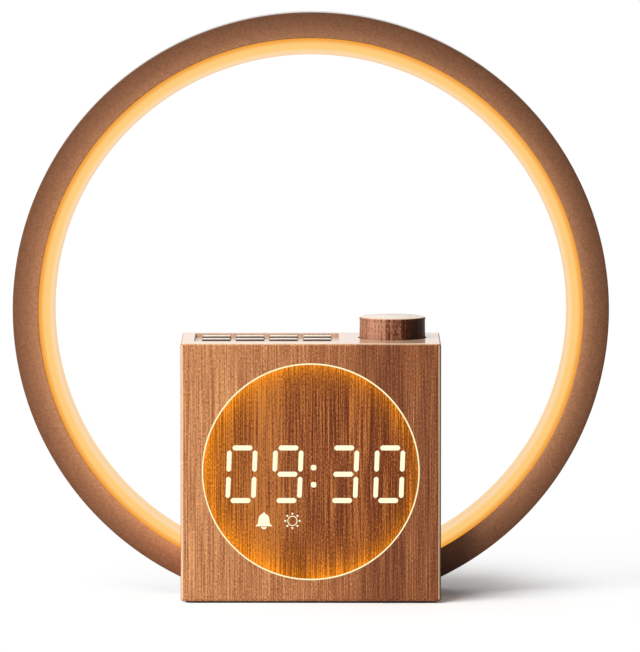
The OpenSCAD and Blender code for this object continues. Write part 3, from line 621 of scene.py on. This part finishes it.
def arc_solid(outline, steps):
    """A closed solid: an outline of (radius, Y) turned along the lamp's arc."""
    bm = bmesh.new()
    first = -math.pi / 2 + RING_GAP
    geom = outline_loop(bm, [ring_point(r, y, first) for r, y in outline])
    bmesh.ops.spin(bm, geom=geom, cent=RING_CENTRE, axis=(0, -1, 0), dvec=(0, 0, 0),
                   angle=FULL_TURN - 2 * RING_GAP, steps=steps, use_merge=False)
    bmesh.ops.holes_fill(bm, edges=[e for e in bm.edges if e.is_boundary], sides=0)
    close_up(bm)
    return bm


def turned_solid(outline, centre, steps=96):
    """A closed solid: an outline of (radius, Z) turned round an upright axis, its ends on the axis."""
    bm = bmesh.new()
    verts = [bm.verts.new((centre[0] + r, centre[1], z)) for r, z in outline]
    edges = [bm.edges.new((a, b)) for a, b in zip(verts, verts[1:])]
    bmesh.ops.spin(bm, geom=verts + edges, cent=(centre[0], centre[1], 0), axis=(0, 0, 1), dvec=(0, 0, 0),
                   angle=FULL_TURN, steps=steps, use_merge=True)
    close_up(bm)
    return bm


def box_solid(lowest, highest):
    """A plain box between two corners."""
    bm = bmesh.new()
    bmesh.ops.create_cube(bm, size=1.0)
    bmesh.ops.scale(bm, vec=Vector(highest) - Vector(lowest), verts=bm.verts)
    bmesh.ops.translate(bm, vec=(Vector(highest) + Vector(lowest)) / 2, verts=bm.verts)
    return bm


def join(bm, extra):
    """Adds a second bmesh to the first and frees it."""
    mesh = bpy.data.meshes.new("part")
    extra.to_mesh(mesh)
    bm.from_mesh(mesh)
    bpy.data.meshes.remove(mesh)
    extra.free()


def finished(name, bm, material, body, node, smooth_deg=32):
    """Turns a bmesh into a piece that rides on a body and stands for a CAD node."""
    mesh = bpy.data.meshes.new(name)
    bm.to_mesh(mesh)
    bm.free()
    mesh.shade_smooth()
    mesh.set_sharp_from_angle(angle=math.radians(smooth_deg))
    mesh.materials.append(material)
    piece = bpy.data.objects.new(name, mesh)
    bpy.context.scene.collection.objects.link(piece)
    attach(piece, body)
    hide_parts(node)
    return piece


def paint(material, *nodes):
    """Gives carried-over nodes a material."""
    for node in nodes:
        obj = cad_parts[node]
        obj.data.materials.clear()
        obj.data.materials.append(material)


# ---------------------------------------------------------------- operators, one for each group of pieces

class MakeRing(bpy.types.Operator):
    """Models the ring lamp's two shells and its diffuser"""

    bl_idname = "clock.make_ring"
    bl_label = "Make ring lamp"

    seam_depth = 2 * MM
    seam_gap = 0.08 * MM
    shell_lap = 1.6 * MM
    # The diffuser's front: (in from the opening, behind the ring's front), with a fine groove near its end.
    crown = ((0.0, 1.8), (0.25, 1.25), (0.8, 1.0), (2.9, 0.9), (3.3, 1.1), (3.7, 0.85))

    def execute(self, context):
        ring = context.scene.clock_ring
        brown = ring_paint(ring)
        inner = RING_R - ring.frame_width
        opening = inner - ring.light_width
        inside = RING_R - ring.wall
        seam = low("ring_rear_shell").y + self.seam_depth
        roof = RING_FRONT + ring.wall
        front = arc_solid([(inner, RING_FRONT), (RING_R, RING_FRONT), (RING_R, seam), (inside, seam),
                           (inside, roof), (inner, roof)], ring.steps)
        bevel(front, rim_edges(front, lambda y: y < RING_FRONT + 1e-5), ring.edge)
        finished("ring_front_frame", front, brown, HOUSING, "ring_front_shell")
        back = RING_BACK - ring.wall
        rear_seam = seam + self.seam_gap
        rear = arc_solid([(opening, back), (inside, back), (inside, rear_seam), (RING_R, rear_seam),
                          (RING_R, RING_BACK), (opening, RING_BACK)], ring.steps)
        bevel(rear, rim_edges(rear, lambda y: y > RING_BACK - 1e-5), ring.edge)
        finished("ring_rear_frame", rear, brown, HOUSING, "ring_rear_shell")
        lap = inner + self.shell_lap
        wall_r = opening + 1.4 * MM
        front_inside = RING_FRONT + 3.0 * MM
        back_inside = back - 1.4 * MM
        light = arc_solid([(opening + r * MM, RING_FRONT + y * MM) for r, y in self.crown] + [
            (inner, RING_FRONT + 0.6 * MM), (inner, roof), (lap, roof), (lap, front_inside),
            (wall_r, front_inside), (wall_r, back_inside), (lap, back_inside), (lap, back),
            (opening, back)], ring.steps)
        finished("ring_light", light, ring_glow(ring), HOUSING, "ring_diffuser", 50)
        return {"FINISHED"}


class MakeCase(bpy.types.Operator):
    """Finishes the wood case and models its mat"""

    bl_idname = "clock.make_case"
    bl_label = "Make case"

    mat_corner = 3 * MM
    mat_edge = 0.25 * MM

    def execute(self, context):
        wood = context.scene.clock_wood
        paint(case_wood(wood), "case")
        mat = box_solid(low("base_mat"), high("base_mat"))
        bevel(mat, [e for e in mat.edges if is_upright(e)], self.mat_corner, 6)
        bevel(mat, sharp_edges(mat, lambda e: edge_height(e) < 0.5 * MM), self.mat_edge, 2)
        rubber = moulded("mat_rubber", (0.026, 0.013, 0.009), 0.8, 0.5, 2400.0, gloss=0.05)
        finished("anti_slip_mat", mat, rubber, HOUSING, "base_mat")
        return {"FINISHED"}


class MakeFace(bpy.types.Operator):
    """Finishes the wooden disc, its lit line and the lit signs"""

    bl_idname = "clock.make_face"
    bl_label = "Make lit face"

    def execute(self, context):
        paint(disc_wood(context.scene.clock_wood), "face_disc", "unlit_segments")
        paint(lit_plastic("lit_digits", plain(context.scene.clock_trim.lit)), "lit_segments")
        paint(lit_plastic("lit_line", (1.0, 0.93, 0.56)), "halo_ring")
        return {"FINISHED"}


class MakeKeys(bpy.types.Operator):
    """Models the eight bar keys and finishes their tray"""

    bl_idname = "clock.make_keys"
    bl_label = "Make keys"

    lip = 0.6 * MM
    lip_depth = 3.1 * MM
    stem_r = 1.5 * MM

    def cap(self, node, edge):
        """A key: a bar with rounded top edges, a flange under the tray's edge and a round stem."""
        lowest, highest = low(node), high(node)
        lip, flange_top = self.lip, CASE_HIGH.z - self.lip_depth
        cap = box_solid((lowest.x + lip, lowest.y + lip, flange_top),
                        (highest.x - lip, highest.y - lip, highest.z))
        bevel(cap, sharp_edges(cap, lambda e: is_upright(e) or edge_height(e) > highest.z - 0.5 * MM), edge)
        join(cap, box_solid((lowest.x, lowest.y, flange_top - lip), (highest.x, highest.y, flange_top)))
        stem_top = flange_top - lip
        join(cap, turned_solid([(0, lowest.z), (self.stem_r, lowest.z), (self.stem_r, stem_top),
                                (0, stem_top)], middle(node), 32))
        for face in cap.faces:
            on_top = face.normal.z > 0.85 and face.calc_center_median().z > flange_top + MM
            face.material_index = 0 if on_top else 1
        return cap

    def execute(self, context):
        trim = context.scene.clock_trim
        cream = moulded("key_top_cream", plain(trim.cream), 0.22, 0.03, 900.0, vary=0.04)
        umber = moulded("key_side_umber", (0.10, 0.055, 0.038), 0.35, 0.1)
        for n in range(1, 9):
            node = f"key_{n}"
            piece = finished(f"key_cap_{n}", self.cap(node, trim.key_edge), cream, f"key_{n}_cap", node)
            piece.data.materials.append(umber)
        paint(moulded("tray_gloss", (0.54, 0.33, 0.20), 0.16, 0.03, 700.0), "key_plate")
        return {"FINISHED"}


class MakeKnob(bpy.types.Operator):
    """Models the turned knob and its pale disc"""

    bl_idname = "clock.make_knob"
    bl_label = "Make knob"

    hollow_r = 7.1 * MM
    hollow_depth = 2.7 * MM
    bore_r = 3.02 * MM
    bore_gap = 0.1 * MM
    inlay_gap = 0.05 * MM
    inlay_edge = 0.08 * MM
    rim_depth = 1.0 * MM
    rim_lip = 0.14 * MM

    def execute(self, context):
        edge = context.scene.clock_trim.knob_edge
        radius = (high("knob").x - low("knob").x) / 2
        top, base = high("knob").z, low("knob").z
        inlay_r = (high("knob_inlay").x - low("knob_inlay").x) / 2
        pocket_r, pocket_z = inlay_r + self.inlay_gap, low("knob_inlay").z
        bore_z = high("encoder_shaft").z + self.bore_gap
        roof = base + self.hollow_depth
        pocket = [(0, pocket_z), (pocket_r, pocket_z), (pocket_r, top)]
        shoulder = [(radius - edge * (1 - math.cos(a)), top - edge * (1 - math.sin(a)))
                    for a in (math.radians(d) for d in (90, 67.5, 45, 22.5, 0))]
        rim = [(radius, top - self.rim_depth), (radius - self.rim_lip, top - self.rim_depth - 0.05 * MM)]
        foot = [(radius, base + 0.3 * MM), (radius - 0.09 * MM, base + 0.09 * MM), (radius - 0.3 * MM, base)]
        hollow = [(self.hollow_r, base), (self.hollow_r, roof), (self.bore_r, roof), (self.bore_r, bore_z),
                  (0, bore_z)]
        body = turned_solid(pocket + shoulder + rim + foot + hollow, KNOB, 128)
        finished("turned_knob", body, knob_wood(), KNOB_HEAD, "knob", 40)
        disc = turned_solid([(0, pocket_z), (inlay_r, pocket_z), (inlay_r, top - self.inlay_edge),
                             (inlay_r - self.inlay_edge, top), (0, top)], KNOB)
        pale = moulded("inlay_pale", (0.74, 0.65, 0.54), 0.3, 0.05, 800.0, vary=0.03)
        finished("knob_disc", disc, pale, KNOB_HEAD, "knob_inlay", 50)
        return {"FINISHED"}


class MakeBack(bpy.types.Operator):
    """Finishes the rear cover and the inlet, and models the cover's cross-head screws"""

    bl_idname = "clock.make_back"
    bl_label = "Make back"

    head_r = 2.2 * MM
    head_t = 1.4 * MM
    shank_r = 1.1 * MM
    recess_r = 1.3 * MM
    recess_t = 0.8 * MM
    chamfer = 0.3 * MM
    cross_w = 0.55 * MM

    def screw(self, length):
        """A screw along Z with its head's face at 0: a cup, and four posts in it that leave a cross."""
        bm = turned_solid([(0, -length), (self.shank_r, -length), (self.shank_r, -self.head_t),
                           (self.head_r, -self.head_t), (self.head_r, -self.chamfer),
                           (self.head_r - self.chamfer, 0), (self.recess_r, 0),
                           (self.recess_r, -self.recess_t), (0, -self.recess_t)], (0, 0), 48)
        post_r = self.recess_r + 0.05 * MM
        post_low, post_top = -self.recess_t - 0.05 * MM, -0.02 * MM
        for x, y in ((1, 1), (-1, 1), (-1, -1), (1, -1)):
            post = turned_solid([(0, post_low), (post_r, post_low), (post_r, post_top), (0, post_top)],
                                (0, 0), 48)
            for side in (Vector((x, 0, 0)), Vector((0, y, 0))):
                bmesh.ops.bisect_plane(post, geom=post.verts[:] + post.edges[:] + post.faces[:],
                                       plane_co=side * self.cross_w / 2, plane_no=side, clear_inner=True)
                bmesh.ops.holes_fill(post, edges=[e for e in post.edges if e.is_boundary], sides=0)
            close_up(post)
            join(bm, post)
        return bm

    def make_screws(self, material):
        """The four cover screws, at the corners of their CAD node."""
        lowest, highest = low("cover_screws"), high("cover_screws")
        screws = bmesh.new()
        for x in (lowest.x + self.head_r, highest.x - self.head_r):
            for z in (lowest.z + self.head_r, highest.z - self.head_r):
                screw = self.screw(highest.y - lowest.y)
                bmesh.ops.rotate(screw, cent=(0, 0, 0), matrix=Matrix.Rotation(-math.pi / 2, 3, "X"),
                                 verts=screw.verts)
                bmesh.ops.translate(screw, vec=(x, highest.y, z), verts=screw.verts)
                join(screws, screw)
        finished("cross_head_screws", screws, material, HOUSING, "cover_screws")

    def execute(self, context):
        plastic = plain(context.scene.clock_trim.plastic)
        paint(moulded("back_plastic", plastic, 0.55, 0.4, 1800.0), "rear_cover")
        steel = brushed("screw_steel", (0.24, 0.24, 0.25), 0.4)
        self.make_screws(steel)
        paint(steel, "display_screws", "top_screws", "main_screws", "clamp_screws")
        paint(brushed("inlet_steel", (0.62, 0.63, 0.65), 0.3), "usb_inlet", "key_switches", "encoder_body")
        return {"FINISHED"}


class MakeInside(bpy.types.Operator):
    """Finishes the boards, switches, speaker and leads inside the case"""

    bl_idname = "clock.make_inside"
    bl_label = "Make inside"

    def execute(self, context):
        black = moulded("black_plastic", (0.035, 0.035, 0.037), 0.5, 0.2)
        white = moulded("white_plastic", (0.74, 0.74, 0.71), 0.45, 0.1)
        green = moulded("board_green", (0.022, 0.11, 0.055), 0.35, 0.1)
        steel = brushed("plain_steel", (0.55, 0.56, 0.58))
        paint(green, "display_board", "top_board", "main_board")
        paint(white, "display_block", "ring_led_strip", "ribbon_sockets")
        paint(black, "display_header", "main_chips", "cell_holder", "speaker_basket", "encoder_plunger",
              *(f"key_plunger_{n}" for n in range(1, 9)))
        paint(moulded("led_package", (0.85, 0.72, 0.40), 0.3, 0.05), "display_leds", "ring_leds")
        paint(steel, "ballast_plate", "backup_cell", "ring_clamps")
        paint(brushed("nut_brass", (0.62, 0.48, 0.22)), "encoder_nut")
        paint(brushed("shaft_aluminium", (0.70, 0.70, 0.71), 0.3), "encoder_shaft")
        paint(moulded("cone_paper", (0.055, 0.046, 0.040), 0.9, 0.6, 900.0), "speaker_cone")
        paint(moulded("magnet_iron", (0.09, 0.09, 0.095), 0.6, 0.3, metallic=0.6), "speaker_magnet")
        paint(moulded("gasket_foam", (0.020, 0.020, 0.021), 0.95, 0.8, 1200.0), "speaker_gasket")
        paint(moulded("ribbon_grey", (0.48, 0.48, 0.49), 0.5, 0.1), "board_ribbon")
        paint(moulded("lead_red", (0.42, 0.020, 0.014), 0.5, 0.1), "ring_lead")
        return {"FINISHED"}


class MakeStage(bpy.types.Operator):
    """Sets up the floor, the studio light and the camera"""

    bl_idname = "clock.make_stage"
    bl_label = "Make stage"

    camera_distance = 3.2
    camera_elevation = math.radians(5.0)
    aim = Vector((3.54 * MM, -25 * MM, 107.0 * MM))
    pixel = 0.38314 * MM
    image_height = 652
    sensor = 36.0
    floor_size = 20.0
    floor_bounce = 0.60
    floor_white = 0.8
    shade_middle = (45 * MM, 10 * MM)
    shade_near = 10 * MM
    shade_far = 80 * MM
    fill_left = 0.80
    fill_right = 0.12
    key_from = Vector((-0.48, -0.50, 0.72))
    key_energy = 2.6
    key_angle = math.radians(42)

    @staticmethod
    def node(tree, kind, *inputs, **settings):
        """A node with its settings made and its inputs linked or set in order."""
        node = tree.nodes.new(kind)
        for key, value in settings.items():
            setattr(node, key, value)
        places = (0, 2, 3) if kind == "ShaderNodeMix" else range(len(inputs))
        for place, value in zip(places, inputs):
            if isinstance(value, bpy.types.NodeSocket):
                tree.links.new(value, node.inputs[place])
            else:
                node.inputs[place].default_value = value
        return node

    def seen_rays(self, tree):
        """1 for camera, glossy and transmission rays, 0 for the rest."""
        rays = tree.nodes.new("ShaderNodeLightPath").outputs
        seen = rays["Is Camera Ray"]
        for key in ("Is Glossy Ray", "Is Transmission Ray"):
            seen = self.node(tree, "ShaderNodeMath", seen, rays[key], operation="MAXIMUM").outputs[0]
        return seen

    def painted_fill_away_from_case(self, tree):
        """How much painted white light the floor gives off: 0 in the shade beside the case, rising away from
        it, where it fills the object's shadow in.
        """
        place = tree.nodes.new("ShaderNodeTexCoord").outputs["Object"]
        middle_x, middle_y = self.shade_middle
        spot = self.node(tree, "ShaderNodeMapping", place, (-middle_x, -0.5 * middle_y, 0))
        spot.inputs["Scale"].default_value = (1.0, 0.5, 1.0)
        length = self.node(tree, "ShaderNodeVectorMath", spot.outputs[0], operation="LENGTH")
        white = self.node(tree, "ShaderNodeMapRange", length.outputs["Value"], self.shade_near,
                          self.shade_far, 0.0, self.floor_white, interpolation_type="SMOOTHSTEP")
        return white.outputs[0]

    def make_floor(self):
        """A large pale floor that looks white and keeps the object's shadow beside the case; further off,
        painted white light fills the shadow in.
        """
        bm = bmesh.new()
        bmesh.ops.create_grid(bm, x_segments=1, y_segments=1, size=self.floor_size)
        mesh = bpy.data.meshes.new("floor")
        bm.to_mesh(mesh)
        bm.free()
        floor = bpy.data.objects.new("floor", mesh)
        bpy.context.scene.collection.objects.link(floor)
        material = bpy.data.materials.new("floor_white")
        material.use_nodes = True
        tree = material.node_tree
        surface = tree.nodes["Principled BSDF"].inputs
        surface["Roughness"].default_value = 0.9
        surface["Specular IOR Level"].default_value = 0.0
        surface["Emission Color"].default_value = (1, 1, 1, 1)
        seen = self.seen_rays(tree)
        white = self.node(tree, "ShaderNodeMath", seen, self.painted_fill_away_from_case(tree), operation="MULTIPLY")
        shade = self.node(tree, "ShaderNodeMapRange", white.outputs[0], 0.0, 1.0, 1.0, 0.0)
        level = self.node(tree, "ShaderNodeMix", seen, self.floor_bounce, shade.outputs[0])
        tree.links.new(level.outputs[0], surface["Base Color"])
        tree.links.new(white.outputs[0], surface["Emission Strength"])
        mesh.materials.append(material)

    def make_world(self):
        """White to look at, and a soft fill that is stronger from the left."""
        world = bpy.data.worlds.new("studio")
        bpy.context.scene.world = world
        world.use_nodes = True
        tree = world.node_tree
        background = tree.nodes["Background"].inputs
        background["Color"].default_value = (1, 1, 1, 1)
        direction = tree.nodes.new("ShaderNodeTexCoord").outputs["Generated"]
        parts = self.node(tree, "ShaderNodeSeparateXYZ", direction)
        fill = self.node(tree, "ShaderNodeMapRange", parts.outputs[0], -1.0, 1.0, self.fill_left,
                         self.fill_right)
        level = self.node(tree, "ShaderNodeMix", self.seen_rays(tree), fill.outputs[0], 1.0)
        tree.links.new(level.outputs[0], background["Strength"])

    def make_lights(self):
        """One soft key light from the upper left front."""
        data = bpy.data.lights.new("key", "SUN")
        data.energy = self.key_energy
        data.angle = self.key_angle
        key = bpy.data.objects.new("key", data)
        bpy.context.scene.collection.objects.link(key)
        key.rotation_euler = self.key_from.to_track_quat("Z", "Y").to_euler()

    def make_camera(self):
        """The long lens of the photograph, five degrees above the table."""
        data = bpy.data.cameras.new("camera")
        camera = bpy.data.objects.new("camera", data)
        bpy.context.scene.collection.objects.link(camera)
        back = Vector((0, -math.cos(self.camera_elevation), math.sin(self.camera_elevation)))
        camera.location = self.aim + back * self.camera_distance
        camera.rotation_euler = back.to_track_quat("Z", "Y").to_euler()
        data.sensor_width = self.sensor
        data.lens = self.sensor * self.camera_distance / (self.image_height * self.pixel)
        data.clip_end = 100
        bpy.context.scene.camera = camera

    def execute(self, context):
        context.scene.view_settings.view_transform = "Standard"
        self.make_floor()
        self.make_world()
        self.make_lights()
        self.make_camera()
        return {"FINISHED"}


class ClockPanel(bpy.types.Panel):
    """The clock's settings and steps"""

    bl_label = "Sunrise Alarm Clock"
    bl_idname = "VIEW3D_PT_sunrise_clock"
    bl_space_type = "VIEW_3D"
    bl_region_type = "UI"
    bl_category = "Clock"

    def draw(self, context):
        for group in SETTINGS:
            column = self.layout.column(align=True)
            for key in SETTINGS[group].__annotations__:
                column.prop(getattr(context.scene, group), key)
        for step in STEPS:
            self.layout.operator(step.bl_idname)


SETTINGS = {"clock_wood": ClockWood, "clock_ring": ClockRing, "clock_trim": ClockTrim}
STEPS = (MakeRing, MakeCase, MakeFace, MakeKeys, MakeKnob, MakeBack, MakeInside, MakeStage)


def register():
    """Registers the settings, the steps and the panel."""
    for group, cls in SETTINGS.items():
        bpy.utils.register_class(cls)
        setattr(bpy.types.Scene, group, PointerProperty(type=cls))
    for cls in (*STEPS, ClockPanel):
        bpy.utils.register_class(cls)


def unregister():
    """Takes them away again."""
    for cls in (ClockPanel, *reversed(STEPS)):
        bpy.utils.unregister_class(cls)
    for group, cls in SETTINGS.items():
        delattr(bpy.types.Scene, group)
        bpy.utils.unregister_class(cls)


def main():
    """Makes every piece in turn."""
    register()
    for step in STEPS:
        group, name = step.bl_idname.split(".")
        getattr(getattr(bpy.ops, group), name)()


if __name__ == "__main__":
    main()
